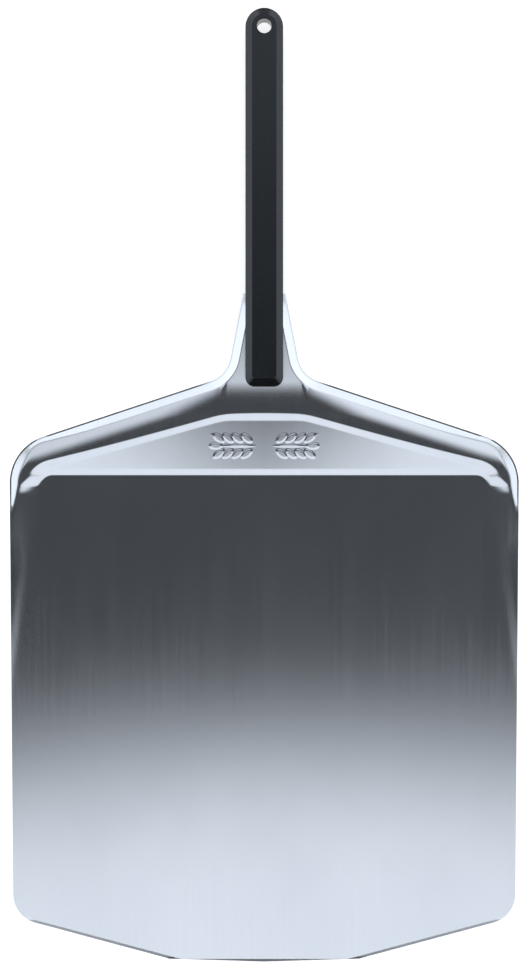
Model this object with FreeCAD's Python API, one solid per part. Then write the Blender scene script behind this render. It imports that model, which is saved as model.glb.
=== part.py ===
import FreeCAD, Part
import math
import os
from FreeCAD import Vector

# Pizza peel, 16 inch class. Millimetres. The blade lies on z = 0, +Y runs up the grip,
# the leading edge faces -Y and the origin is the middle of the footprint.

# ---- driving dimensions: head outline --------------------------------------------------------
SHEET = 1.6                     # thickness of the aluminium sheet
LENGTH = 757.0                  # leading edge to the end of the grip
TIP_Y = -LENGTH / 2             # straight part of the leading edge
GRIP_END_Y = LENGTH / 2
TIP_HALF = 67.1                 # half length of the straight leading edge
FRONT_CORNER = (200.2, -342.8)  # where the slanted edge meets the side
SHOULDER_CORNER = (203.2, 31.6)  # where the side meets the shoulder line
NECK_ROOT = (29.7, 89.1)        # where the shoulder line meets the neck line
NECK_END = (16.8, 153.4)        # end of the bare neck
TIP_RADIUS = 12.0
FRONT_RADIUS = 24.0
SHOULDER_RADIUS = 39.0
NECK_RADIUS = 24.0
BEVEL_WIDTH = 2.3               # bevel along the leading edge, seen from above
BEVEL_DEPTH = 1.0

# ---- driving dimensions: pressed relief, heights are of the sheet's upper face ----------------
CREASE_Y = 11.9                 # crease between the flat blade and the back panel
CREASE_STEP = 1.0
CREASE_RUN = 4.6
CREASE_CORNER = 11.0             # radius of the crease where it turns down into a wing
PANEL_SLOPE = 0.086             # tilt of the back panel on the centre line
PANEL_SLOPE_GAIN = 0.06         # how much steeper it is near its outer ends
STEP_Y = 54.5                   # foot of the step above the panel, middle stretch
STEP_INNER = (66.2, 45.1)       # foot of its sloping stretch, inner end
STEP_OUTER = (161.6, 18.7)      # and outer end
STEP_CORNER = 13.0
STEP_SLOPE = 0.33
STEP_BLEND_RADIUS = 55.0
WING_TOP = (180.5, -2.0)        # fold line of the side wing, end next to the panel
WING_TIP = (200.5, -140.0)      # and end at the side of the blade
WING_SLOPE = 0.18
CREST_Z = 7.6                   # ridge behind the step, on the centre line
CREST_SIDE_FALL = 0.0166        # it falls this much per millimetre sideways
CREST_FRONT_FALL = 0.035        # and this much forwards along the wing
CREST_FRONT_DROP = 2.3
CREST_WIDTH = 19.5              # distance from the trimmed edge at which the ridge is level
CREST_END = (31.5, 33.5)        # the rolled-off ridge ends between these, beside the neck
CREST_RADIUS = 66.0
RIM_Z = 2.1                     # height of the trimmed edge along the shoulder
RIM_SIDE_GAIN = 4.0             # the trimmed edge climbs this much beside the wing
RIM_LIP = 1.2                   # level lip at the trimmed edge
FLANK_WIDTH = 7.0               # turned-down flank, lip included, seen from above
FLANK_SLOPE_LEAST = 0.4
WEB_START_Y = 71.0              # the neck web climbs from here
WEB_STOP_Y = 146.0              # to the level of the tang
TANG_Z = 17.0                   # upper face of the tang
RIM_NECK_START_Y = 82.0
RIM_NECK_SLOPE = 0.193
RELIEF_START_Y = -192.0         # everything in front of this line is flat
RELIEF_STOP_Y = 158.0
RELIEF_HALF = 210.0
NET_PITCH = 2.5                 # spacing of the surface's control net

# ---- driving dimensions: tang, grip and fasteners --------------------------------------------
TANG_HALF = 8.0
TANG_END_Y = 338.0
GRIP_START_Y = 79.5
GRIP_HALF = 14.9
GRIP_BOTTOM = 8.5
GRIP_TOP = 27.5
GRIP_NOSE_ROUND = 7.5           # corner radius at the head end, seen from above
TOP_FACET = (5.3, 4.2)          # long facet: width seen from above, drop
NOSE_FACET = (6.8, 6.0)         # facet over the nose
INSET_ROUND = 2.5               # corner radius of the flat strip at the nose
LOWER_FACET = (4.0, 3.2)
LOWER_START_Y = 96.0            # lower shell starts here
FLANK_REBATE = (11.0, 2.2)      # lower shell steps down here, clear of the neck's turned-down sides
NECK_REBATE = (9.0, 138.0, 14.2)  # and once more beside the end of the neck
FIT_GAP = 0.15                  # between shell and sheet
PARTING_GAP = 0.1               # between the two shells
EDGE_ROUND = 0.5
HANG_RADIUS = 5.75
HANG_ROUND = 0.7
HANG_Y = GRIP_END_Y - GRIP_HALF
SCREW_FIRST_Y = 128.0
SCREW_SPACING = 50.0
SCREW_COUNT = 5
SCREW_RADIUS = 2.0
SCREW_LENGTH = 12.0
SCREW_CLEARANCE = 2.3
HEAD_RADIUS = 3.8
HEAD_HEIGHT = 2.2
HEAD_POCKET = 4.2
SEAT_Z = 11.4                   # underside of every screw's seat
SOCKET_FLATS = 2.5
SOCKET_DEPTH = 1.3
INSERT_RADIUS = 2.75
INSERT_GROOVE = 2.4
INSERT_BORE = 2.05
INSERT_BOTTOM = 17.2
INSERT_LENGTH = 6.2
INSERT_POCKET = 2.8
CORE_HALF = 9.5                 # cored pockets inside the upper shell
CORE_ROOF = 2.8
BOSS_RADIUS = 6.0

SCREW_YS = [SCREW_FIRST_Y + SCREW_SPACING * number for number in range(SCREW_COUNT)]
PARTING_Z = TANG_Z - SHEET / 2


# ---- smooth building blocks for the relief ---------------------------------------------------
def soft_ramp(value, width):
    """Zero below -width, value above width, one parabola in between."""
    if value <= -width:
        return 0.0
    if value >= width:
        return value
    return (value + width) ** 2 / (4 * width)


def soft_min(first, second, width):
    return first - soft_ramp(first - second, width)


def fade(value, start, stop):
    """0 at start, 1 at stop, level at both ends."""
    share = min(1.0, max(0.0, (value - start) / (stop - start)))
    return share * share * (3 - 2 * share)


class Border:
    """A straight border through two points; the outside lies to the left of start to end."""

    def __init__(self, start, end):
        run = math.hypot(end[0] - start[0], end[1] - start[1])
        self.point = start
        self.normal = (-(end[1] - start[1]) / run, (end[0] - start[0]) / run)

    def outside(self, across, along):
        """Signed distance beyond the border."""
        dx = across - self.point[0]
        dy = along - self.point[1]
        return dx * self.normal[0] + dy * self.normal[1]

    def cosine(self, other):
        return self.normal[0] * other.normal[0] + self.normal[1] * other.normal[1]


def round_convex(first, second, cosine, radius):
    """Distance beyond a region inside both borders, its corner rounded."""
    u = first + radius
    v = second + radius
    if u - cosine * v > 0 and v - cosine * u > 0:
        return math.sqrt((u * u + v * v - 2 * cosine * u * v) / (1 - cosine * cosine)) - radius
    return max(first, second)


def round_concave(first, second, cosine, radius):
    """Distance beyond a region inside either border, the inner corner filleted."""
    u = radius - first
    v = radius - second
    if u - cosine * v > 0 and v - cosine * u > 0:
        return radius - math.sqrt((u * u + v * v - 2 * cosine * u * v) / (1 - cosine * cosine))
    return min(first, second)


SHOULDER = Border(NECK_ROOT, SHOULDER_CORNER)
NECK = Border(NECK_END, NECK_ROOT)
SIDE = Border(SHOULDER_CORNER, FRONT_CORNER)
STEP_LEVEL = Border((0.0, STEP_Y), (1.0, STEP_Y))
STEP_SLANT = Border(STEP_INNER, STEP_OUTER)
WING_FOLD = Border(WING_TOP, WING_TIP)
CREASE = Border((0.0, CREASE_Y), (1.0, CREASE_Y))


def edge_distance(across, along):
    """Distance inwards from the trimmed edge of shoulder, neck and side."""
    shoulder = SHOULDER.outside(across, along)
    neck = NECK.outside(across, along)
    side = SIDE.outside(across, along)
    back = round_concave(shoulder, neck, SHOULDER.cosine(NECK), NECK_RADIUS)
    if across < NECK_ROOT[0] + NECK_RADIUS * 2:
        return -back
    return -round_convex(back, side, SHOULDER.cosine(SIDE), SHOULDER_RADIUS)


def step_distance(across, along):
    """Distance beyond the line made by the panel's step and the wing's fold."""
    level = STEP_LEVEL.outside(across, along)
    slant = STEP_SLANT.outside(across, along)
    fold = WING_FOLD.outside(across, along)
    step = round_convex(level, slant, STEP_LEVEL.cosine(STEP_SLANT), STEP_BLEND_RADIUS)
    if across < STEP_INNER[0]:
        return step
    return round_convex(step, fold, STEP_SLANT.cosine(WING_FOLD), STEP_CORNER)


def crease_distance(across, along):
    """Distance beyond the flat blade."""
    crease = CREASE.outside(across, along)
    fold = WING_FOLD.outside(across, along)
    return round_convex(crease, fold, CREASE.cosine(WING_FOLD), CREASE_CORNER)


def web_height(across, along):
    """Ridge behind the step: it falls a little sideways and climbs up the neck to the tang."""
    slope = (TANG_Z - CREST_Z) / (WEB_STOP_Y - WEB_START_Y)
    climb = CREST_Z + slope * soft_ramp(along - WEB_START_Y, 13.0)
    sideways = CREST_SIDE_FALL * soft_ramp(across - 30.0, 20.0)
    forward = CREST_FRONT_FALL * soft_ramp(12.0 - along, 14.0)
    return soft_min(climb, TANG_Z, 0.3) - sideways - soft_min(forward, CREST_FRONT_DROP, 0.5)


def crest_rounding(inward, across, along):
    """How far the ridge rolls off towards the shoulder's edge; the neck stays level."""
    share = fade(along, -25.0, 22.0) * fade(across, *CREST_END)
    short = min(CREST_WIDTH, max(0.0, CREST_WIDTH - inward))
    return share * short ** 2 / (2 * CREST_RADIUS)


def rim_height(along):
    """Upper face of the sheet at its trimmed edge."""
    side = RIM_SIDE_GAIN * fade(-along, -5.0, 60.0)
    neck = RIM_NECK_SLOPE * soft_ramp(along - RIM_NECK_START_Y, 6.0)
    return RIM_Z + side + neck


def relief_height(x, along):
    """Upper face of the pressed sheet."""
    across = abs(x)
    inward = edge_distance(across, along)
    half = CREASE_RUN / 2
    crease = fade(crease_distance(across, along), -half, half) * fade(along, 0.5, 9.0)
    tilt = PANEL_SLOPE + PANEL_SLOPE_GAIN * (across / WING_TOP[0]) ** 1.5
    panel = tilt * soft_ramp(along - CREASE_Y, 2.0)
    back_share = fade(along, -6.0, 14.0)
    steepness = WING_SLOPE + (STEP_SLOPE - WING_SLOPE) * back_share
    beyond = step_distance(across, along)
    raised = SHEET + CREASE_STEP * crease + panel + steepness * soft_ramp(beyond, 3.0 - 1.8 * back_share)
    ridge = web_height(across, along)
    roll_inward = max(inward, -SHOULDER.outside(across, along))
    crest = ridge - crest_rounding(roll_inward, across, along)
    rim = rim_height(along)
    flank_top = ridge - crest_rounding(FLANK_WIDTH, across, along)
    flank_slope = max(FLANK_SLOPE_LEAST, (flank_top - rim) / (FLANK_WIDTH - RIM_LIP))
    flank = rim + flank_slope * max(0.0, inward - RIM_LIP)
    return soft_min(soft_min(raised, crest, 0.5 + 0.5 * back_share), flank, 0.5)


def under_height(x, along):
    """Lower face of the pressed sheet, one thickness away measured square to the surface."""
    reach = 0.5
    across_slope = (relief_height(x + reach, along) - relief_height(x - reach, along)) / (2 * reach)
    along_slope = (relief_height(x, along + reach) - relief_height(x, along - reach)) / (2 * reach)
    return relief_height(x, along) - SHEET * math.sqrt(1 + across_slope ** 2 + along_slope ** 2)


# ---- general solids --------------------------------------------------------------------------
def corner_arc(before, corner, after, radius):
    """Start, middle and end of the fillet at one corner of an outline."""
    inward = (before - corner).normalize()
    onward = (after - corner).normalize()
    half = inward.getAngle(onward) / 2
    reach = radius / math.tan(half)
    bisector = (inward + onward).normalize()
    middle = corner + bisector * (radius / math.sin(half) - radius)
    return corner + inward * reach, middle, corner + onward * reach


def rounded_wire(corners):
    """Closed wire through (x, y, radius) corners."""
    points = [Vector(x, y, 0) for x, y, radius in corners]
    edges = []
    ends = []
    for index, (x, y, radius) in enumerate(corners):
        corner = points[index]
        if radius == 0:
            ends.append((corner, corner))
            continue
        after = points[(index + 1) % len(points)]
        start, middle, end = corner_arc(points[index - 1], corner, after, radius)
        edges.append(Part.Arc(start, middle, end).toShape())
        ends.append((start, end))
    for index, pair in enumerate(ends):
        edges.append(Part.LineSegment(ends[index - 1][1], pair[0]).toShape())
    return Part.Wire(Part.__sortEdges__(edges))


def prism(wire, bottom, top):
    face = Part.Face(wire)
    face.translate(Vector(0, 0, bottom))
    return face.extrude(Vector(0, 0, top - bottom))


def block(x_low, x_high, y_low, y_high, z_low, z_high):
    return Part.makeBox(x_high - x_low, y_high - y_low, z_high - z_low, Vector(x_low, y_low, z_low))


def column(radius, y, bottom, top):
    return Part.makeCylinder(radius, top - bottom, Vector(0, y, bottom))


def side_profile(points, x_low, x_high):
    """Solid with one outline in the YZ plane, extruded across the object."""
    corners = [Vector(x_low, y, z) for y, z in points]
    face = Part.Face(Part.makePolygon(corners + corners[:1]))
    return face.extrude(Vector(x_high - x_low, 0, 0))


# ---- pressed head ----------------------------------------------------------------------------
def net_places(low, high, count):
    """Places at which the control net samples its height, so that planes stay planes."""
    pitch = (high - low) / count
    steps = [0, 1 / 3] + list(range(1, count)) + [count - 1 / 3, count]
    return [low + pitch * step for step in steps]


def relief_surface(height):
    """Smooth surface whose control net lies on the given height."""
    count_x = round(2 * RELIEF_HALF / NET_PITCH)
    count_y = round((RELIEF_STOP_Y - RELIEF_START_Y) / NET_PITCH)
    rows = net_places(-RELIEF_HALF, RELIEF_HALF, count_x)
    columns = net_places(RELIEF_START_Y, RELIEF_STOP_Y, count_y)
    poles = [[Vector(x, y, height(x, y)) for y in columns] for x in rows]
    surface = Part.BSplineSurface()
    repeats_x = [4] + [1] * (count_x - 1) + [4]
    repeats_y = [4] + [1] * (count_y - 1) + [4]
    knots_x = list(range(count_x + 1))
    knots_y = list(range(count_y + 1))
    surface.buildFromPolesMultsKnots(poles, repeats_x, repeats_y, knots_x, knots_y, False, False, 3, 3)
    return surface.toShape()


def relief_slab():
    """Pressed sheet before trimming, between its upper and lower faces."""
    upper = relief_surface(relief_height)
    lower = relief_surface(under_height)
    walls = [Part.makeRuledSurface(a, b) for a, b in zip(upper.Edges, lower.Edges)]
    shell = Part.makeShell([upper, lower] + walls)
    shell.sewShape()
    slab = Part.makeSolid(shell)
    if slab.Volume < 0:
        slab.reverse()
    return slab


def head_outline():
    right = [
        (TIP_HALF, TIP_Y, TIP_RADIUS),
        FRONT_CORNER + (FRONT_RADIUS,),
        SHOULDER_CORNER + (SHOULDER_RADIUS,),
        NECK_ROOT + (NECK_RADIUS,),
        NECK_END + (0,),
    ]
    left = [(-x, y, radius) for x, y, radius in reversed(right)]
    return rounded_wire(right + left)


def bevel_cutter(start, end):
    """Wedge that bevels the top of one edge; the outside lies to the left of start to end."""
    normal = Vector(*Border(start, end).normal, 0)
    edge_start = Vector(*start, 0)
    run = Vector(*end, 0) - edge_start
    overrun = run.normalize() * FRONT_RADIUS
    length = math.hypot(end[0] - start[0], end[1] - start[1]) + 2 * FRONT_RADIUS
    section = [(-BEVEL_WIDTH, SHEET), (BEVEL_WIDTH, SHEET - 2 * BEVEL_DEPTH)]
    section += [(BEVEL_WIDTH, 2 * SHEET), (-BEVEL_WIDTH, 2 * SHEET), (-BEVEL_WIDTH, SHEET)]
    points = [edge_start - overrun + normal * out + Vector(0, 0, z) for out, z in section]
    face = Part.Face(Part.makePolygon(points))
    return face.extrude(run * length)


def front_plate(outline):
    """Flat part of the blade with its bevelled leading edge."""
    field = block(-RELIEF_HALF, RELIEF_HALF, TIP_Y - 1, RELIEF_START_Y, 0, SHEET)
    plate = prism(outline, 0, SHEET).common(field)
    right_tip = (TIP_HALF, TIP_Y)
    left_tip = (-TIP_HALF, TIP_Y)
    left_corner = (-FRONT_CORNER[0], FRONT_CORNER[1])
    for start, end in [(FRONT_CORNER, right_tip), (right_tip, left_tip), (left_tip, left_corner)]:
        plate = plate.cut(bevel_cutter(start, end))
    return plate


def tang():
    end = [
        (TANG_HALF, NECK_END[1], 0),
        (TANG_HALF, TANG_END_Y, TANG_HALF / 2),
        (-TANG_HALF, TANG_END_Y, TANG_HALF / 2),
        (-TANG_HALF, NECK_END[1], 0),
    ]
    return prism(rounded_wire(end), TANG_Z - SHEET, TANG_Z)


def pressed_head():
    outline = head_outline()
    back = relief_slab().common(prism(outline, -GRIP_TOP, 2 * GRIP_TOP))
    sheet = front_plate(outline).fuse(back)
    sheet = sheet.fuse(tang())
    for y in SCREW_YS:
        sheet = sheet.cut(column(SCREW_CLEARANCE, y, 0, GRIP_TOP))
    return sheet


# ---- grip ------------------------------------------------------------------------------------
def grip_wire(half, start_y, corner_radius, z):
    """Plan outline of the grip: rounded nose corners, round end."""
    before = Vector(-half, HANG_Y, z)
    left = Vector(-half, start_y, z)
    right = Vector(half, start_y, z)
    after = Vector(half, HANG_Y, z)
    left_arc = corner_arc(before, left, right, corner_radius)
    right_arc = corner_arc(left, right, after, corner_radius)
    edges = [
        Part.LineSegment(before, left_arc[0]).toShape(),
        Part.Arc(*left_arc).toShape(),
        Part.LineSegment(left_arc[2], right_arc[0]).toShape(),
        Part.Arc(*right_arc).toShape(),
        Part.LineSegment(right_arc[2], after).toShape(),
        Part.Arc(after, Vector(0, HANG_Y + half, z), before).toShape(),
    ]
    return Part.Wire(edges)


def faceted_bar(start_y, flat_z, facet_z, facet_width, nose_width):
    """Facets between the full outline at facet_z and the inset outline at flat_z."""
    full = grip_wire(GRIP_HALF, start_y, GRIP_NOSE_ROUND, facet_z)
    inset = grip_wire(GRIP_HALF - facet_width, start_y + nose_width, INSET_ROUND, flat_z)
    return Part.makeLoft([full, inset], True, True)


def nose_wedge():
    """Cutter that makes the facet over the nose steeper than the long facets."""
    run, drop = NOSE_FACET
    crease_y = GRIP_START_Y + run
    low_y = GRIP_START_Y - 1
    low_z = GRIP_TOP - drop * (crease_y - low_y) / run
    points = [(crease_y, GRIP_TOP), (low_y, low_z), (low_y, GRIP_TOP + 1), (crease_y, GRIP_TOP + 1)]
    return side_profile(points, -GRIP_HALF - 1, GRIP_HALF + 1)


def web_line(start_y, stop_y, gap, pitch=7.0):
    """Points that follow the neck web at a gap, from start to stop."""
    count = math.ceil((stop_y - start_y) / pitch)
    places = [start_y + (stop_y - start_y) * step / count for step in range(count + 1)]
    return [(y, web_height(0.0, y) + gap) for y in places]


def hang_hole():
    """Cutter for the hang hole, with rounded mouths at both faces of the grip."""
    hole = column(HANG_RADIUS, HANG_Y, GRIP_BOTTOM - 1, GRIP_TOP + 1)
    wide = HANG_RADIUS + HANG_ROUND
    upper = Part.makeCone(HANG_RADIUS, wide, HANG_ROUND, Vector(0, HANG_Y, GRIP_TOP - HANG_ROUND))
    lower = Part.makeCone(wide, HANG_RADIUS, HANG_ROUND, Vector(0, HANG_Y, GRIP_BOTTOM))
    return hole.fuse([upper, lower])


def core_pockets():
    """Cored-out pockets of the upper shell, between the bosses of the inserts."""
    roof = GRIP_TOP - CORE_ROOF
    pockets = []
    for y in SCREW_YS[:-1]:
        start = y + BOSS_RADIUS
        stop = y + SCREW_SPACING - BOSS_RADIUS
        start = max(start, NECK_END[1] + BOSS_RADIUS)
        pockets.append(block(-CORE_HALF, CORE_HALF, start, stop, TANG_Z - 1, roof))
    return pockets


def grip_upper_shell():
    facet_z = GRIP_TOP - TOP_FACET[1]
    body = prism(grip_wire(GRIP_HALF, GRIP_START_Y, GRIP_NOSE_ROUND, 0), PARTING_Z - SHEET * 4, facet_z)
    body = body.fuse(faceted_bar(GRIP_START_Y, GRIP_TOP, facet_z, TOP_FACET[0], NOSE_FACET[0]))
    body = body.cut(nose_wedge())
    joint_y = NECK_END[1] + FIT_GAP
    below = [(GRIP_START_Y - 1, 0)] + web_line(GRIP_START_Y - 1, joint_y, FIT_GAP)
    parting = PARTING_Z + PARTING_GAP / 2
    below += [(joint_y, parting), (GRIP_END_Y + 1, parting), (GRIP_END_Y + 1, 0)]
    body = body.cut(side_profile(below, -GRIP_HALF - 1, GRIP_HALF + 1))
    body = body.cut(tang_slot(PARTING_Z, TANG_Z + FIT_GAP))
    for pocket in core_pockets():
        body = body.cut(pocket)
    for y in SCREW_YS:
        body = body.cut(column(SCREW_CLEARANCE, y, 0, INSERT_BOTTOM))
        body = body.cut(column(INSERT_POCKET, y, INSERT_BOTTOM, SEAT_Z + SCREW_LENGTH + 0.6))
    body = body.cut(hang_hole())
    return rounded(body, GRIP_TOP)


def grip_lower_shell():
    facet_z = GRIP_BOTTOM + LOWER_FACET[1]
    body = prism(grip_wire(GRIP_HALF, LOWER_START_Y, GRIP_NOSE_ROUND, 0), facet_z, TANG_Z)
    body = body.fuse(faceted_bar(LOWER_START_Y, GRIP_BOTTOM, facet_z, LOWER_FACET[0], LOWER_FACET[0]))
    joint_y = NECK_END[1] + FIT_GAP
    above = [(LOWER_START_Y - 1, GRIP_TOP)] + web_line(LOWER_START_Y - 1, joint_y, -SHEET - FIT_GAP)
    parting = PARTING_Z - PARTING_GAP / 2
    above += [(joint_y, parting), (GRIP_END_Y + 1, parting), (GRIP_END_Y + 1, GRIP_TOP)]
    body = body.cut(side_profile(above, -GRIP_HALF - 1, GRIP_HALF + 1))
    rebate = [(LOWER_START_Y - 1, GRIP_TOP)]
    rebate += web_line(LOWER_START_Y - 1, joint_y, -SHEET - FLANK_REBATE[1]) + [(joint_y, GRIP_TOP)]
    for low, high in [(FLANK_REBATE[0], GRIP_HALF + 1), (-GRIP_HALF - 1, -FLANK_REBATE[0])]:
        body = body.cut(side_profile(rebate, low, high))
    half, start_y, level = NECK_REBATE
    for low, high in [(half, GRIP_HALF + 1), (-GRIP_HALF - 1, -half)]:
        body = body.cut(block(low, high, start_y, joint_y, level, GRIP_TOP))
    body = body.cut(tang_slot(TANG_Z - SHEET - FIT_GAP, PARTING_Z))
    for y in SCREW_YS:
        body = body.cut(column(SCREW_CLEARANCE, y, 0, GRIP_TOP))
        body = body.cut(column(HEAD_POCKET, y, 0, SEAT_Z))
    body = body.cut(hang_hole())
    return rounded(body, GRIP_BOTTOM)


def tang_slot(bottom, top):
    half = TANG_HALF + FIT_GAP * 2
    return block(-half, half, NECK_END[1] - 1, TANG_END_Y + FIT_GAP * 2, bottom, top)


def rounded(body, level):
    """Softens the outer edges of the flat strip at one level."""
    edges = [edge for edge in body.Edges if is_strip_edge(edge, level)]
    return body.makeFillet(EDGE_ROUND, edges)


def is_strip_edge(edge, level):
    box = edge.BoundBox
    at_level = abs(box.ZMin - level) < 0.01 and abs(box.ZMax - level) < 0.01
    around_hole = box.YMin > HANG_Y - HANG_RADIUS * 2 and box.XLength < HANG_RADIUS * 3
    around_screw = box.XLength < HEAD_POCKET * 2.1 and box.YLength < HEAD_POCKET * 2.1 and box.YLength > 1
    return at_level and not around_hole and not around_screw


# ---- fasteners -------------------------------------------------------------------------------
def button_screw(y):
    """M4 button-head screw, driven upwards, with its hexagon socket."""
    shank = column(SCREW_RADIUS, y, SEAT_Z - 0.5, SEAT_Z + SCREW_LENGTH)
    dome_radius = (HEAD_RADIUS ** 2 + HEAD_HEIGHT ** 2) / (2 * HEAD_HEIGHT)
    dome = Part.makeSphere(dome_radius, Vector(0, y, SEAT_Z - HEAD_HEIGHT + dome_radius))
    head = dome.common(column(HEAD_RADIUS, y, SEAT_Z - HEAD_HEIGHT, SEAT_Z))
    corner = SOCKET_FLATS / math.sqrt(3)
    turns = [math.radians(60 * number) for number in range(7)]
    low = SEAT_Z - HEAD_HEIGHT - 1
    hexagon = Part.makePolygon([Vector(corner * math.cos(a), y + corner * math.sin(a), low) for a in turns])
    socket = Part.Face(hexagon).extrude(Vector(0, 0, 1 + SOCKET_DEPTH))
    return head.fuse(shank).cut(socket)


def thread_insert(y):
    """Brass insert with two collars and a groove."""
    top = INSERT_BOTTOM + INSERT_LENGTH
    third = INSERT_LENGTH / 3
    insert = column(INSERT_RADIUS, y, INSERT_BOTTOM, INSERT_BOTTOM + third)
    insert = insert.fuse(column(INSERT_GROOVE, y, INSERT_BOTTOM + third, top - third))
    insert = insert.fuse(column(INSERT_RADIUS, y, top - third, top))
    return insert.cut(column(INSERT_BORE, y, INSERT_BOTTOM - 1, top + 1))


def export(name, shape):
    solid = shape.Solids[0]
    if len(shape.Solids) != 1 or not solid.isValid():
        raise ValueError(name + " is not one valid solid")
    solid.exportStep("parts/" + name + ".step")
    print(name, round(solid.Volume / 1000, 2), "cm3", len(solid.Faces), "faces")


os.makedirs("parts", exist_ok=True)
export("pressed_head", pressed_head())
export("grip_upper_shell", grip_upper_shell())
export("grip_lower_shell", grip_lower_shell())
for number, screw_y in enumerate(SCREW_YS, start=1):
    export(f"grip_screw_{number}", button_screw(screw_y))
    export(f"thread_insert_{number}", thread_insert(screw_y))
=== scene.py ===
import math

import bpy
import numpy as np
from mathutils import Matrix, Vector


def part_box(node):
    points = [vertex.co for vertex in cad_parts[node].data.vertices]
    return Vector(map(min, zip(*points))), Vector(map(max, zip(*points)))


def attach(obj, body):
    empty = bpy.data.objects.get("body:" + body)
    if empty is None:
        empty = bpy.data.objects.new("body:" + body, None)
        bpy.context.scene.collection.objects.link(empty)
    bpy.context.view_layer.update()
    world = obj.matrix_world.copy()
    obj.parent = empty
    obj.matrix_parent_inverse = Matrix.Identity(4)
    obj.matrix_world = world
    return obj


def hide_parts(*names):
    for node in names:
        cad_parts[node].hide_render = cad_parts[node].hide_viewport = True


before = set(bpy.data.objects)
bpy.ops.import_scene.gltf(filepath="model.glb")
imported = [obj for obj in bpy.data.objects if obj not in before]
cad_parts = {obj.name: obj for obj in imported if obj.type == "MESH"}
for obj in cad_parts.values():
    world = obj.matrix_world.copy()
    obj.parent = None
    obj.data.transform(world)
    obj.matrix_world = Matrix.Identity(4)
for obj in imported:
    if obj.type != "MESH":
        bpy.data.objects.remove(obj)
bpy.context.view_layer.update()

# Metres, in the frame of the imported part: the blade lies on z = 0, +Y runs up the grip.
MM = 0.001
HEAD_LOW, HEAD_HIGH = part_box("pressed_head")

# ---- pressed head: outline -------------------------------------------------------------------
SHEET = 1.6 * MM
TIP_Y = HEAD_LOW.y
TIP_HALF = 67.1 * MM
FRONT_CORNER = (200.2 * MM, TIP_Y + 35.7 * MM)
SHOULDER_CORNER = (203.2 * MM, 31.6 * MM)
NECK_ROOT = (29.7 * MM, 89.1 * MM)
NECK_END = (16.8 * MM, 153.4 * MM)
TIP_RADIUS = 12.0 * MM
FRONT_RADIUS = 24.0 * MM
SHOULDER_RADIUS = 39.0 * MM
NECK_RADIUS = 24.0 * MM
BEVEL_WIDTH = 2.3 * MM
BEVEL_DEPTH = 1.0 * MM
TANG_HALF = 8.0 * MM
TANG_END_Y = HEAD_HIGH.y
HALF_WIDTH_MOST = 250.0 * MM
HALVINGS = 40

# ---- pressed head: relief, heights are of the sheet's upper face -------------------------------
CREASE_Y = 11.9 * MM
CREASE_STEP = 1.0 * MM
CREASE_RUN = 4.6 * MM
CREASE_CORNER = 11.0 * MM
CREASE_FADE = (0.5 * MM, 9.0 * MM)
PANEL_SLOPE = 0.086
PANEL_SLOPE_GAIN = 0.06
PANEL_GAIN_POWER = 1.5
PANEL_EASE = 2.0 * MM
STEP_Y = 54.5 * MM
STEP_INNER = (66.2 * MM, 45.1 * MM)
STEP_OUTER = (161.6 * MM, 18.7 * MM)
STEP_CORNER = 13.0 * MM
STEP_SLOPE = 0.33
STEP_BLEND_RADIUS = 55.0 * MM
STEP_EASE = 1.2 * MM
WING_TOP = (180.5 * MM, -2.0 * MM)
WING_TIP = (200.5 * MM, -140.0 * MM)
WING_SLOPE = 0.18
WING_EASE = 3.0 * MM
WING_TO_STEP = (-6.0 * MM, 14.0 * MM)
CREST_Z = 7.6 * MM
CREST_EASE = 0.5 * MM
CREST_EASE_GAIN = 0.5 * MM
CREST_SIDE_FALL = 0.0166
CREST_SIDE_START = 30.0 * MM
CREST_SIDE_EASE = 20.0 * MM
CREST_FRONT_FALL = 0.035
CREST_FRONT_START = 12.0 * MM
CREST_FRONT_EASE = 14.0 * MM
CREST_FRONT_DROP = 2.3 * MM
CREST_DROP_EASE = 0.5 * MM
CREST_WIDTH = 19.5 * MM
CREST_END = (31.5 * MM, 33.5 * MM)
CREST_RADIUS = 66.0 * MM
CREST_ROLL_FADE = (-25.0 * MM, 22.0 * MM)
RIM_Z = 2.1 * MM
RIM_SIDE_GAIN = 4.0 * MM
RIM_SIDE_FADE = (-5.0 * MM, 60.0 * MM)
RIM_LIP = 1.2 * MM
FLANK_WIDTH = 7.0 * MM
FLANK_SLOPE_LEAST = 0.4
FLANK_EASE = 0.5 * MM
WEB_START_Y = 71.0 * MM
WEB_START_EASE = 13.0 * MM
WEB_STOP_Y = 146.0 * MM
WEB_STOP_EASE = 0.3 * MM
TANG_Z = HEAD_HIGH.z
RIM_NECK_START_Y = 82.0 * MM
RIM_NECK_SLOPE = 0.193
RIM_NECK_EASE = 6.0 * MM
SLOPE_REACH = 0.4 * MM


def soft_ramp(value, width):
    """Zero below -width, value above width, one parabola in between."""
    middle = (value + width) ** 2 / (4 * width)
    return np.where(value <= -width, 0.0, np.where(value >= width, value, middle))


def soft_min(first, second, width):
    return first - soft_ramp(first - second, width)


def fade(value, start, stop):
    """0 at start, 1 at stop, level at both ends."""
    share = np.clip((value - start) / (stop - start), 0.0, 1.0)
    return share * share * (3 - 2 * share)


class Border:
    """A straight border through two points; the outside lies to the left of start to end."""

    def __init__(self, start, end):
        run = math.hypot(end[0] - start[0], end[1] - start[1])
        self.point = start
        self.normal = (-(end[1] - start[1]) / run, (end[0] - start[0]) / run)

    def outside(self, across, along):
        dx = across - self.point[0]
        dy = along - self.point[1]
        return dx * self.normal[0] + dy * self.normal[1]

    def cosine(self, other):
        return self.normal[0] * other.normal[0] + self.normal[1] * other.normal[1]


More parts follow.
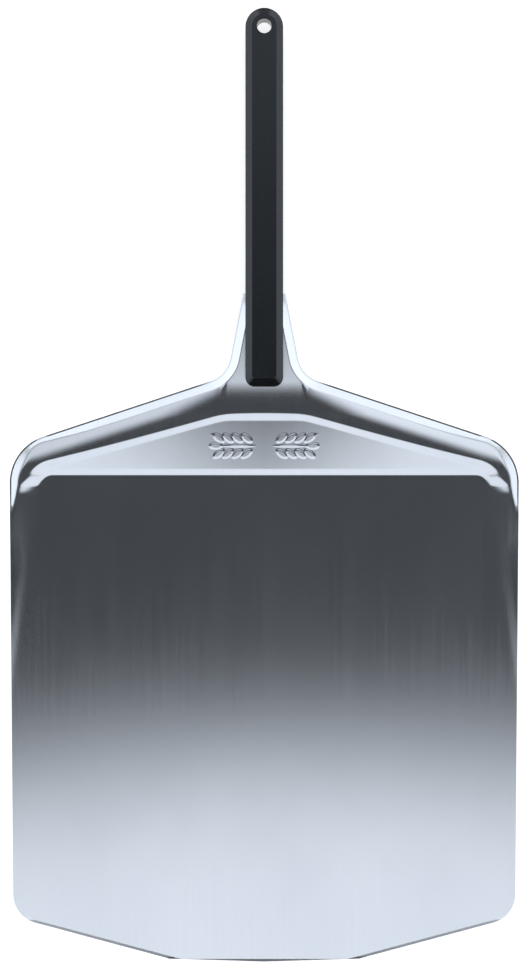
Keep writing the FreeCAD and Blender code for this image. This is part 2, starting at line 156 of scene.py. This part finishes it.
def round_convex(first, second, cosine, radius):
    """Distance beyond a region inside both borders, its corner rounded."""
    u = first + radius
    v = second + radius
    in_corner = (u - cosine * v > 0) & (v - cosine * u > 0)
    squared = np.maximum(u * u + v * v - 2 * cosine * u * v, 0.0) / (1 - cosine * cosine)
    return np.where(in_corner, np.sqrt(squared) - radius, np.maximum(first, second))


def round_concave(first, second, cosine, radius):
    """Distance beyond a region inside either border, the inner corner filleted."""
    u = radius - first
    v = radius - second
    in_corner = (u - cosine * v > 0) & (v - cosine * u > 0)
    squared = np.maximum(u * u + v * v - 2 * cosine * u * v, 0.0) / (1 - cosine * cosine)
    return np.where(in_corner, radius - np.sqrt(squared), np.minimum(first, second))


SHOULDER = Border(NECK_ROOT, SHOULDER_CORNER)
NECK = Border(NECK_END, NECK_ROOT)
SIDE = Border(SHOULDER_CORNER, FRONT_CORNER)
SLANT = Border(FRONT_CORNER, (TIP_HALF, TIP_Y))
TIP = Border((TIP_HALF, TIP_Y), (0.0, TIP_Y))
STEP_LEVEL = Border((0.0, STEP_Y), (1.0, STEP_Y))
STEP_SLANT = Border(STEP_INNER, STEP_OUTER)
WING_FOLD = Border(WING_TOP, WING_TIP)
CREASE = Border((0.0, CREASE_Y), (1.0, CREASE_Y))


def back_distance(across, along):
    """Distance beyond the edge of shoulder, neck and side."""
    shoulder = SHOULDER.outside(across, along)
    neck = NECK.outside(across, along)
    side = SIDE.outside(across, along)
    back = round_concave(shoulder, neck, SHOULDER.cosine(NECK), NECK_RADIUS)
    rounded = round_convex(back, side, SHOULDER.cosine(SIDE), SHOULDER_RADIUS)
    return np.where(across < NECK_ROOT[0] + NECK_RADIUS * 2, back, rounded)


def outline_distance(across, along):
    """Distance beyond the whole outline of the head."""
    back = back_distance(across, along)
    side = SIDE.outside(across, along)
    slant = SLANT.outside(across, along)
    tip = TIP.outside(across, along)
    front = round_convex(slant, side, SLANT.cosine(SIDE), FRONT_RADIUS)
    front = np.where(across > TIP_HALF + TIP_RADIUS, front,
                     round_convex(slant, tip, SLANT.cosine(TIP), TIP_RADIUS))
    return np.maximum(back, front)


def step_distance(across, along):
    """Distance beyond the line made by the panel's step and the wing's fold."""
    level = STEP_LEVEL.outside(across, along)
    slant = STEP_SLANT.outside(across, along)
    fold = WING_FOLD.outside(across, along)
    step = round_convex(level, slant, STEP_LEVEL.cosine(STEP_SLANT), STEP_BLEND_RADIUS)
    corner = round_convex(step, fold, STEP_SLANT.cosine(WING_FOLD), STEP_CORNER)
    return np.where(across < STEP_INNER[0], step, corner)


def crease_distance(across, along):
    """Distance beyond the flat blade."""
    crease = CREASE.outside(across, along)
    fold = WING_FOLD.outside(across, along)
    return round_convex(crease, fold, CREASE.cosine(WING_FOLD), CREASE_CORNER)


def web_height(across, along):
    """Ridge behind the step: it falls a little sideways and climbs up the neck."""
    slope = (TANG_Z - CREST_Z) / (WEB_STOP_Y - WEB_START_Y)
    climb = CREST_Z + slope * soft_ramp(along - WEB_START_Y, WEB_START_EASE)
    sideways = CREST_SIDE_FALL * soft_ramp(across - CREST_SIDE_START, CREST_SIDE_EASE)
    forward = CREST_FRONT_FALL * soft_ramp(CREST_FRONT_START - along, CREST_FRONT_EASE)
    forward = soft_min(forward, CREST_FRONT_DROP, CREST_DROP_EASE)
    return soft_min(climb, TANG_Z, WEB_STOP_EASE) - sideways - forward


def crest_rounding(inward, across, along):
    """How far the ridge rolls off towards the shoulder's edge; the neck stays level."""
    share = fade(along, *CREST_ROLL_FADE) * fade(across, *CREST_END)
    return share * np.clip(CREST_WIDTH - inward, 0.0, CREST_WIDTH) ** 2 / (2 * CREST_RADIUS)


def rim_height(along):
    """Upper face at the trimmed edge behind the blade."""
    side = RIM_SIDE_GAIN * fade(-along, *RIM_SIDE_FADE)
    neck = RIM_NECK_SLOPE * soft_ramp(along - RIM_NECK_START_Y, RIM_NECK_EASE)
    return RIM_Z + side + neck


def relief_height(x, along):
    """Upper face of the pressed sheet."""
    across = np.abs(x)
    inward = -back_distance(across, along)
    half = CREASE_RUN / 2
    crease = fade(crease_distance(across, along), -half, half) * fade(along, *CREASE_FADE)
    tilt = PANEL_SLOPE + PANEL_SLOPE_GAIN * (across / WING_TOP[0]) ** PANEL_GAIN_POWER
    panel = tilt * soft_ramp(along - CREASE_Y, PANEL_EASE)
    back_share = fade(along, *WING_TO_STEP)
    steepness = WING_SLOPE + (STEP_SLOPE - WING_SLOPE) * back_share
    beyond = step_distance(across, along)
    fold_ease = WING_EASE + (STEP_EASE - WING_EASE) * back_share
    raised = SHEET + CREASE_STEP * crease + panel + steepness * soft_ramp(beyond, fold_ease)
    ridge = web_height(across, along)
    shoulder_inward = -SHOULDER.outside(across, along)
    crest = ridge - crest_rounding(np.maximum(inward, shoulder_inward), across, along)
    rim = rim_height(along)
    flank_top = ridge - crest_rounding(FLANK_WIDTH, across, along)
    flank_slope = np.maximum(FLANK_SLOPE_LEAST, (flank_top - rim) / (FLANK_WIDTH - RIM_LIP))
    flank = rim + flank_slope * np.maximum(0.0, inward - RIM_LIP)
    ease = CREST_EASE + CREST_EASE_GAIN * back_share
    return soft_min(soft_min(raised, crest, ease), flank, FLANK_EASE)


def under_height(x, along):
    """Lower face, one sheet thickness away measured square to the surface."""
    rise_x = relief_height(x + SLOPE_REACH, along) - relief_height(x - SLOPE_REACH, along)
    rise_y = relief_height(x, along + SLOPE_REACH) - relief_height(x, along - SLOPE_REACH)
    slope_x = rise_x / (2 * SLOPE_REACH)
    slope_y = rise_y / (2 * SLOPE_REACH)
    under = relief_height(x, along) - SHEET * np.sqrt(1 + slope_x ** 2 + slope_y ** 2)
    return np.maximum(under, 0.0)


def bevel_drop(across, along):
    """How far the leading edge's bevel lies below the flat blade."""
    nearest = np.minimum(-TIP.outside(across, along), -SLANT.outside(across, along))
    return BEVEL_DEPTH * np.maximum(0.0, BEVEL_WIDTH - nearest) / BEVEL_WIDTH


# ---- emblem: two ears of wheat pressed into the back panel --------------------------------------
EMBLEM_Y = 33.0 * MM
EMBLEM_HALF = 45.0 * MM
EMBLEM_RISE = 0.22 * MM
EMBLEM_EDGE = 0.9 * MM
STEM_X = 20.0 * MM
STEM_SIZE = (30.0 * MM, 2.2 * MM)
GRAIN_PAIRS = 4
GRAIN_FIRST_X = 14.0 * MM
GRAIN_PITCH = 7.4 * MM
GRAIN_ASIDE = 6.2 * MM
GRAIN_TURN = math.radians(36)
GRAIN_SIZE = (11.5 * MM, 5.6 * MM)
TIP_GRAIN_X = 38.5 * MM


def grain_level(x, y, centre, turn, length, width):
    """Distance inside one grain of the emblem, roughly."""
    dx = x - centre[0]
    dy = y - centre[1]
    u = dx * math.cos(turn) + dy * math.sin(turn)
    v = dy * math.cos(turn) - dx * math.sin(turn)
    return (1 - np.sqrt((u / (length / 2)) ** 2 + (v / (width / 2)) ** 2)) * width / 2


def emblem_height(x, y):
    """Raised emblem: mirrored ears whose tips point outwards."""
    across = np.abs(x)
    inside = grain_level(across, y, (STEM_X, EMBLEM_Y), 0.0, *STEM_SIZE)
    for pair in range(GRAIN_PAIRS):
        middle = GRAIN_FIRST_X + GRAIN_PITCH * pair
        for side in (-1, 1):
            centre = (middle, EMBLEM_Y + side * GRAIN_ASIDE)
            grain = grain_level(across, y, centre, side * GRAIN_TURN, *GRAIN_SIZE)
            inside = np.maximum(inside, grain)
    tip = grain_level(across, y, (TIP_GRAIN_X, EMBLEM_Y), 0.0, *GRAIN_SIZE)
    inside = np.maximum(inside, tip)
    return EMBLEM_RISE * fade(inside, 0.0, EMBLEM_EDGE)


# ---- mesh of the pressed head -------------------------------------------------------------------
FRONT_BORDER_END_Y = TIP_Y + 60 * MM
# Start, stop and pitch of the rows along Y: close together where the sheet bends.
ROW_BANDS = [
    (TIP_Y, TIP_Y + BEVEL_WIDTH, BEVEL_WIDTH),
    (TIP_Y + BEVEL_WIDTH, FRONT_BORDER_END_Y, 1.0 * MM),
    (FRONT_BORDER_END_Y, -140 * MM, 8.0 * MM),
    (-140 * MM, -15 * MM, 2.5 * MM),
    (-15 * MM, 17 * MM, 0.8 * MM),
    (17 * MM, 49 * MM, 0.4 * MM),
    (49 * MM, 96 * MM, 0.8 * MM),
    (96 * MM, NECK_END[1], 1.6 * MM),
]
# Start, stop and pitch of the columns, as shares of the half width: finest over the emblem.
EMBLEM_SHARE = EMBLEM_HALF / SHOULDER_CORNER[0] + 0.02
COLUMN_BANDS = [(0.0, EMBLEM_SHARE, 0.0022), (EMBLEM_SHARE, 0.8, 0.012), (0.8, 1.0, 0.005)]
TANG_FIRST_ROW = 1.0 * MM
TANG_PITCH = 6.0 * MM
TANG_BORDER = 0.4 * MM
BORDER_SHARE_LEAST = 0.2
UV_PER_METRE = 10
SHARP_ANGLE = 20


def spaced(start, stop, pitch):
    count = max(1, round((stop - start) / pitch))
    return [start + (stop - start) * step / count for step in range(count)]


def half_widths(rows, inset):
    """Half width of the outline, moved inwards by inset, at each row."""
    low = np.zeros_like(rows)
    high = np.full_like(rows, HALF_WIDTH_MOST)
    for _ in range(HALVINGS):
        middle = (low + high) / 2
        inside = outline_distance(middle, rows) < -inset
        low = np.where(inside, middle, low)
        high = np.where(inside, high, middle)
    return low


def band_places(bands):
    """Evenly spaced places of each band in turn, without the last one's end."""
    places = []
    for start, stop, pitch in bands:
        places += spaced(start, stop, pitch)
    return places


def head_rows():
    """Places along Y at which the mesh has a row."""
    return np.array(band_places(ROW_BANDS) + [NECK_END[1]])


def head_columns():
    """Shares of the half width at which the mesh has a column."""
    outer = band_places(COLUMN_BANDS)
    return np.array([-share for share in reversed(outer + [1.0])] + outer[1:] + [1.0])


def sheet_mesh(name):
    """Upper and lower face of the sheet on one grid, joined round the trimmed edge."""
    rows = head_rows()
    columns = head_columns()
    outer = half_widths(rows, 0.0)
    bevelled = rows < FRONT_BORDER_END_Y
    inset = np.where(bevelled, BEVEL_WIDTH, RIM_LIP)
    front_inner = half_widths(np.maximum(rows, TIP_Y + BEVEL_WIDTH), BEVEL_WIDTH)
    inner = np.where(bevelled, front_inner, half_widths(rows, RIM_LIP))
    inner = np.minimum(inner, outer - BORDER_SHARE_LEAST * inset)
    tang_start = NECK_END[1] + TANG_FIRST_ROW
    tang_rows = np.array(spaced(tang_start, TANG_END_Y, TANG_PITCH) + [TANG_END_Y])
    rows = np.concatenate([rows, tang_rows])
    outer = np.concatenate([outer, np.full_like(tang_rows, TANG_HALF)])
    inner = np.concatenate([inner, np.full_like(tang_rows, TANG_HALF - TANG_BORDER)])
    within = inner[:, None] * columns[None, :]
    x = np.concatenate([-outer[:, None], within, outer[:, None]], axis=1)
    y = np.repeat(rows[:, None], x.shape[1], axis=1)
    on_tang = y > NECK_END[1]
    top = relief_height(x, np.minimum(y, NECK_END[1]))
    bottom = under_height(x, np.minimum(y, NECK_END[1]))
    top = np.where(on_tang, TANG_Z, top - bevel_drop(np.abs(x), y) + emblem_height(x, y))
    bottom = np.where(on_tang, TANG_Z - SHEET, bottom + emblem_height(x, y))
    return grid_sheet(name, x, y, top, bottom)


def grid_sheet(name, x, y, top, bottom):
    """Closed mesh from two stacked grids."""
    row_count, column_count = x.shape
    size = row_count * column_count
    upper = np.stack([x, y, top], axis=2).reshape(-1, 3)
    lower = np.stack([x, y, bottom], axis=2).reshape(-1, 3)
    index = np.arange(size).reshape(row_count, column_count)
    a, b = index[:-1, :-1].ravel(), index[:-1, 1:].ravel()
    c, d = index[1:, 1:].ravel(), index[1:, :-1].ravel()
    faces = [np.stack([a, b, c, d], axis=1), np.stack([a, d, c, b], axis=1) + size]
    ring = np.concatenate([index[0, :-1], index[:-1, -1], index[-1, :0:-1], index[:0:-1, 0]])
    onward = np.roll(ring, -1)
    faces.append(np.stack([ring, ring + size, onward + size, onward], axis=1))
    mesh = bpy.data.meshes.new(name)
    mesh.from_pydata(np.concatenate([upper, lower]).tolist(), [], np.concatenate(faces).tolist())
    mesh.update()
    flat = np.concatenate([x.reshape(-1, 1), y.reshape(-1, 1)], axis=1)
    layer = mesh.uv_layers.new(name="sheet")
    corners = np.empty(len(mesh.loops), np.int32)
    mesh.loops.foreach_get("vertex_index", corners)
    places = np.tile(flat, (2, 1))[corners].astype(np.float32).ravel() * UV_PER_METRE
    layer.data.foreach_set("uv", places)
    return mesh


def add_object(name, mesh):
    piece = bpy.data.objects.new(name, mesh)
    bpy.context.scene.collection.objects.link(piece)
    return piece


def smooth(mesh, degrees):
    mesh.shade_smooth()
    mesh.set_sharp_from_angle(angle=math.radians(degrees))


# ---- materials ----------------------------------------------------------------------------------
ALUMINIUM_TONES = ((0.765, 0.82, 0.905, 1), (0.815, 0.87, 0.955, 1))
ALUMINIUM_CLOUD = (0.675, 0.74, 0.835, 1)
NYLON_TONES = ((0.0006, 0.0008, 0.0011, 1), (0.0013, 0.0017, 0.0023, 1))
STEEL_TONES = ((0.50, 0.50, 0.51, 1), (0.66, 0.66, 0.67, 1))
BRASS_TONES = ((0.62, 0.43, 0.16, 1), (0.76, 0.57, 0.27, 1))
FLOOR_TONES = ((0.86, 0.86, 0.86, 1), (0.90, 0.90, 0.90, 1))


class Recipe:
    """Small helper that builds one node material."""

    def __init__(self, name):
        self.material = bpy.data.materials.new(name)
        self.material.use_nodes = True
        self.tree = self.material.node_tree
        self.shader = self.tree.nodes["Principled BSDF"]

    def node(self, kind, inputs=None, **settings):
        node = self.tree.nodes.new(kind)
        for key, value in settings.items():
            setattr(node, key, value)
        for key, value in (inputs or {}).items():
            self.feed(node, key, value)
        return node

    def feed(self, node, key, value):
        if isinstance(value, bpy.types.NodeSocket):
            self.tree.links.new(value, node.inputs[key])
        else:
            node.inputs[key].default_value = value

    def place(self, scale):
        """Object position stretched by a scale, as a texture vector."""
        where = self.node("ShaderNodeTexCoord")
        inputs = {"Vector": where.outputs["Object"], "Scale": scale}
        return self.node("ShaderNodeMapping", inputs).outputs[0]

    def noise(self, scale, detail=3.0, size=1.0, roughness=0.55):
        inputs = {"Vector": self.place(scale), "Scale": size, "Detail": detail}
        inputs["Roughness"] = roughness
        return self.node("ShaderNodeTexNoise", inputs).outputs["Fac"]

    def ramp(self, value, low, high, to_low=0.0, to_high=1.0):
        inputs = {"Value": value, "From Min": low, "From Max": high}
        inputs.update({"To Min": to_low, "To Max": to_high})
        return self.node("ShaderNodeMapRange", inputs).outputs["Result"]

    def blend(self, factor, first, second):
        node = self.node("ShaderNodeMix", data_type="RGBA")
        for key, value in ((0, factor), (6, first), (7, second)):
            self.feed(node, key, value)
        return node.outputs[2]

    def math(self, operation, first, second):
        node = self.node("ShaderNodeMath", operation=operation)
        self.feed(node, 0, first)
        self.feed(node, 1, second)
        return node.outputs[0]

    def bump(self, height, distance, strength, normal=None):
        inputs = {"Height": height, "Distance": distance, "Strength": strength}
        if normal is not None:
            inputs["Normal"] = normal
        return self.node("ShaderNodeBump", inputs).outputs["Normal"]

    def finish(self, **inputs):
        for key, value in inputs.items():
            self.feed(self.shader, key.replace("_", " "), value)
        return self.material


def brushed_aluminium():
    """Sheet brushed lengthwise: fine and broad streaks along Y, faint clouding."""
    recipe = Recipe("brushed_aluminium")
    fine = recipe.noise((2600, 14, 400), detail=4.0)
    broad = recipe.noise((320, 5, 60), detail=3.0)
    cloud = recipe.noise((9, 6, 9), detail=4.0)
    fine_part = recipe.math("MULTIPLY", fine, 0.6)
    streak = recipe.math("ADD", fine_part, recipe.math("MULTIPLY", broad, 0.4))
    colour = recipe.blend(recipe.ramp(streak, 0.3, 0.7), *ALUMINIUM_TONES)
    clouded = recipe.ramp(cloud, 0.35, 0.75, 0.0, 0.25)
    colour = recipe.blend(clouded, colour, ALUMINIUM_CLOUD)
    streak_rough = recipe.ramp(streak, 0.3, 0.7, 0.13, 0.17)
    rough = recipe.math("ADD", streak_rough, recipe.ramp(cloud, 0.3, 0.7, 0.0, 0.03))
    relief = recipe.bump(streak, 0.00002, 0.25)
    tangent = recipe.node("ShaderNodeTangent", direction_type="UV_MAP", uv_map="sheet").outputs[0]
    return recipe.finish(Base_Color=colour, Roughness=rough, Normal=relief, Tangent=tangent,
                         Metallic=1.0, Anisotropic=0.75)


def moulded_nylon():
    """Black glass-filled nylon with a fine spark-eroded grain."""
    recipe = Recipe("moulded_nylon")
    grain = recipe.noise((1400, 1400, 1400), detail=2.0)
    cloud = recipe.noise((22, 9, 22), detail=3.0)
    colour = recipe.blend(recipe.ramp(cloud, 0.3, 0.7), *NYLON_TONES)
    cloud_rough = recipe.ramp(cloud, 0.3, 0.7, 0.24, 0.29)
    rough = recipe.math("ADD", cloud_rough, recipe.ramp(grain, 0.3, 0.7, -0.03, 0.03))
    return recipe.finish(Base_Color=colour, Roughness=rough, Specular_IOR_Level=0.70,
                         Specular_Tint=(0.80, 0.90, 1.0, 1),
                         Normal=recipe.bump(grain, 0.00006, 0.35))


def stainless():
    """Turned stainless steel of the screws."""
    recipe = Recipe("stainless_steel")
    grain = recipe.noise((900, 900, 200), detail=3.0)
    colour = recipe.blend(grain, *STEEL_TONES)
    return recipe.finish(Base_Color=colour, Roughness=recipe.ramp(grain, 0.2, 0.8, 0.22, 0.38),
                         Normal=recipe.bump(grain, 0.00003, 0.3), Metallic=1.0)


def brass():
    """Machined brass of the thread inserts."""
    recipe = Recipe("machined_brass")
    grain = recipe.noise((600, 600, 1800), detail=3.0)
    colour = recipe.blend(grain, *BRASS_TONES)
    return recipe.finish(Base_Color=colour, Roughness=recipe.ramp(grain, 0.2, 0.8, 0.25, 0.4),
                         Normal=recipe.bump(grain, 0.00003, 0.3), Metallic=1.0)


def pale_floor():
    """White acrylic table, softly lit from within."""
    recipe = Recipe("pale_floor")
    cloud = recipe.noise((3, 3, 3), detail=3.0)
    colour = recipe.blend(cloud, *FLOOR_TONES)
    return recipe.finish(Base_Color=colour, Roughness=0.6, Emission_Color=(1.0, 1.0, 1.0, 1),
                         Emission_Strength=0.6)


# ---- pieces -------------------------------------------------------------------------------------
def place_head():
    mesh = sheet_mesh("pressed_head_sheet")
    smooth(mesh, SHARP_ANGLE)
    piece = add_object("pressed_head_sheet", mesh)
    mesh.materials.append(brushed_aluminium())
    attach(piece, "root")
    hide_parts("pressed_head")


def dress_node(node, material):
    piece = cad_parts[node]
    piece.data.materials.clear()
    piece.data.materials.append(material)
    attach(piece, "root")


place_head()
nylon = moulded_nylon()
steel = stainless()
metal_brass = brass()
for node in sorted(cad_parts):
    if node.startswith("grip_screw"):
        dress_node(node, steel)
    elif node.startswith("grip"):
        dress_node(node, nylon)
    elif node.startswith("thread"):
        dress_node(node, metal_brass)


# ---- studio -------------------------------------------------------------------------------------
CARD_HEIGHT = 4.0
CAMERA_HEIGHT = 2.0
CARD_GLOW = 0.053
LIGHT_GLOW = 0.94
ROOM_GLOW = 1.2
GREY_GLOW = 0.3
FLOOR_HALF = 12.0
FLOOR_Z = -0.3 * MM
OVERHEAD_HALF = 3.7
OVERHEAD_FRONT_Y = -6.0
OVERHEAD_BACK_Y = 3.1
FRONT_CARDS_Y = -6.3
FRONT_FLAG_HALF = 4.0
FRONT_CARD_END = 10.5
BACK_FLAG_Y = 3.4
BACK_FLAG_HALF = 0.9
CARD_FOOT_Z = 0.02
CARD_TOP_Z = 3.95
SENSOR_MM = 36.0
LENS_MM = 92.3
CAMERA_MIDDLE = (-0.0002, -0.0009)


def plane(name, corners, material):
    """A card or table of the studio. Only the table is seen by the camera itself."""
    mesh = bpy.data.meshes.new(name)
    mesh.from_pydata(corners, [], [(0, 1, 2, 3)])
    mesh.materials.append(material)
    piece = add_object(name, mesh)
    return piece


def level(x_half, y_low, y_high, z):
    """Corners of a level card, centred on X."""
    return [(-x_half, y_low, z), (x_half, y_low, z), (x_half, y_high, z), (-x_half, y_high, z)]


def upright(x_low, x_high, y):
    """Corners of an upright card that stands just off the table."""
    low, high = CARD_FOOT_Z, CARD_TOP_Z
    return [(x_low, y, low), (x_high, y, low), (x_high, y, high), (x_low, y, high)]


def overhead_glow():
    """Dark card in the middle that runs softly into a front light and a back light."""
    recipe = Recipe("overhead_glow")
    where = recipe.node("ShaderNodeTexCoord").outputs["Object"]
    split = recipe.node("ShaderNodeSeparateXYZ", {"Vector": where})
    side, along = split.outputs["X"], split.outputs["Y"]
    aside = recipe.math("ABSOLUTE", side, 0.0)

    def soft(value, start, stop, least=0.0, most=1.0):
        inputs = {"Value": value, "From Min": start, "From Max": stop}
        inputs.update({"To Min": least, "To Max": most})
        node = recipe.node("ShaderNodeMapRange", inputs, interpolation_type="SMOOTHSTEP")
        return node.outputs["Result"]

    def product(first, *others):
        for other in others:
            first = recipe.math("MULTIPLY", first, other)
        return first

    skewed = recipe.math("SUBTRACT", along, product(side, 0.03))
    skewed = recipe.math("ADD", skewed, product(aside, aside, 0.12))
    front = product(soft(skewed, -0.37, -0.88), soft(aside, 3.6, 2.9))
    front = product(front, soft(along, -5.3, -4.4, 0.3))
    back = product(soft(along, 0.25, 1.15), soft(aside, 3.4, 2.4), soft(along, 2.95, 2.75))
    back = product(back, soft(side, -1.6, 1.6, 0.78, 1.05))
    glow = recipe.math("ADD", front, back)
    glow = recipe.math("ADD", product(glow, LIGHT_GLOW - CARD_GLOW), CARD_GLOW)
    return recipe.finish(Base_Color=(0.0, 0.0, 0.0, 1), Roughness=1.0, Specular_IOR_Level=0.0,
                         Emission_Color=(0.96, 0.98, 1.0, 1), Emission_Strength=glow)


def flag_cloth(name, glow):
    """Matt cloth that mirrors nothing and glows evenly, or not at all."""
    recipe = Recipe(name)
    return recipe.finish(Base_Color=(0.02, 0.02, 0.02, 1), Roughness=1.0, Specular_IOR_Level=0.0,
                         Emission_Color=(0.93, 0.96, 1.0, 1), Emission_Strength=glow)


def light_studio():
    """White room and table, graded overhead light, dark flags, grey cards beside the front one."""
    plane("floor", level(FLOOR_HALF, -FLOOR_HALF, FLOOR_HALF, FLOOR_Z), pale_floor())
    cloth = flag_cloth("flag_cloth", 0.0)
    grey = flag_cloth("grey_cloth", GREY_GLOW)
    ceiling = level(OVERHEAD_HALF, OVERHEAD_FRONT_Y, OVERHEAD_BACK_Y, CARD_HEIGHT)
    front_flag = upright(-FRONT_FLAG_HALF, FRONT_FLAG_HALF, FRONT_CARDS_Y)
    back_flag = upright(-BACK_FLAG_HALF, BACK_FLAG_HALF, BACK_FLAG_Y)
    left_card = upright(-FRONT_CARD_END, -FRONT_FLAG_HALF, FRONT_CARDS_Y)
    right_card = upright(FRONT_FLAG_HALF, FRONT_CARD_END, FRONT_CARDS_Y)
    cards = [
        plane("overhead", ceiling, overhead_glow()),
        plane("front_flag", front_flag, cloth),
        plane("back_flag", back_flag, cloth),
        plane("front_left_card", left_card, grey),
        plane("front_right_card", right_card, grey),
    ]
    for card in cards:
        card.visible_camera = False
    world = bpy.data.worlds.new("studio")
    world.use_nodes = True
    room = world.node_tree.nodes["Background"]
    room.inputs["Color"].default_value = (0.97, 0.985, 1.0, 1)
    room.inputs["Strength"].default_value = ROOM_GLOW
    bpy.context.scene.world = world
    bpy.context.scene.view_settings.view_transform = "Standard"


def place_camera():
    """Straight above the middle of the object, the grip towards the top of the picture."""
    camera = bpy.data.cameras.new("camera")
    camera.sensor_width = SENSOR_MM
    camera.lens = LENS_MM
    piece = bpy.data.objects.new("camera", camera)
    piece.location = (*CAMERA_MIDDLE, CAMERA_HEIGHT)
    bpy.context.scene.collection.objects.link(piece)
    bpy.context.scene.camera = piece


light_studio()
place_camera()
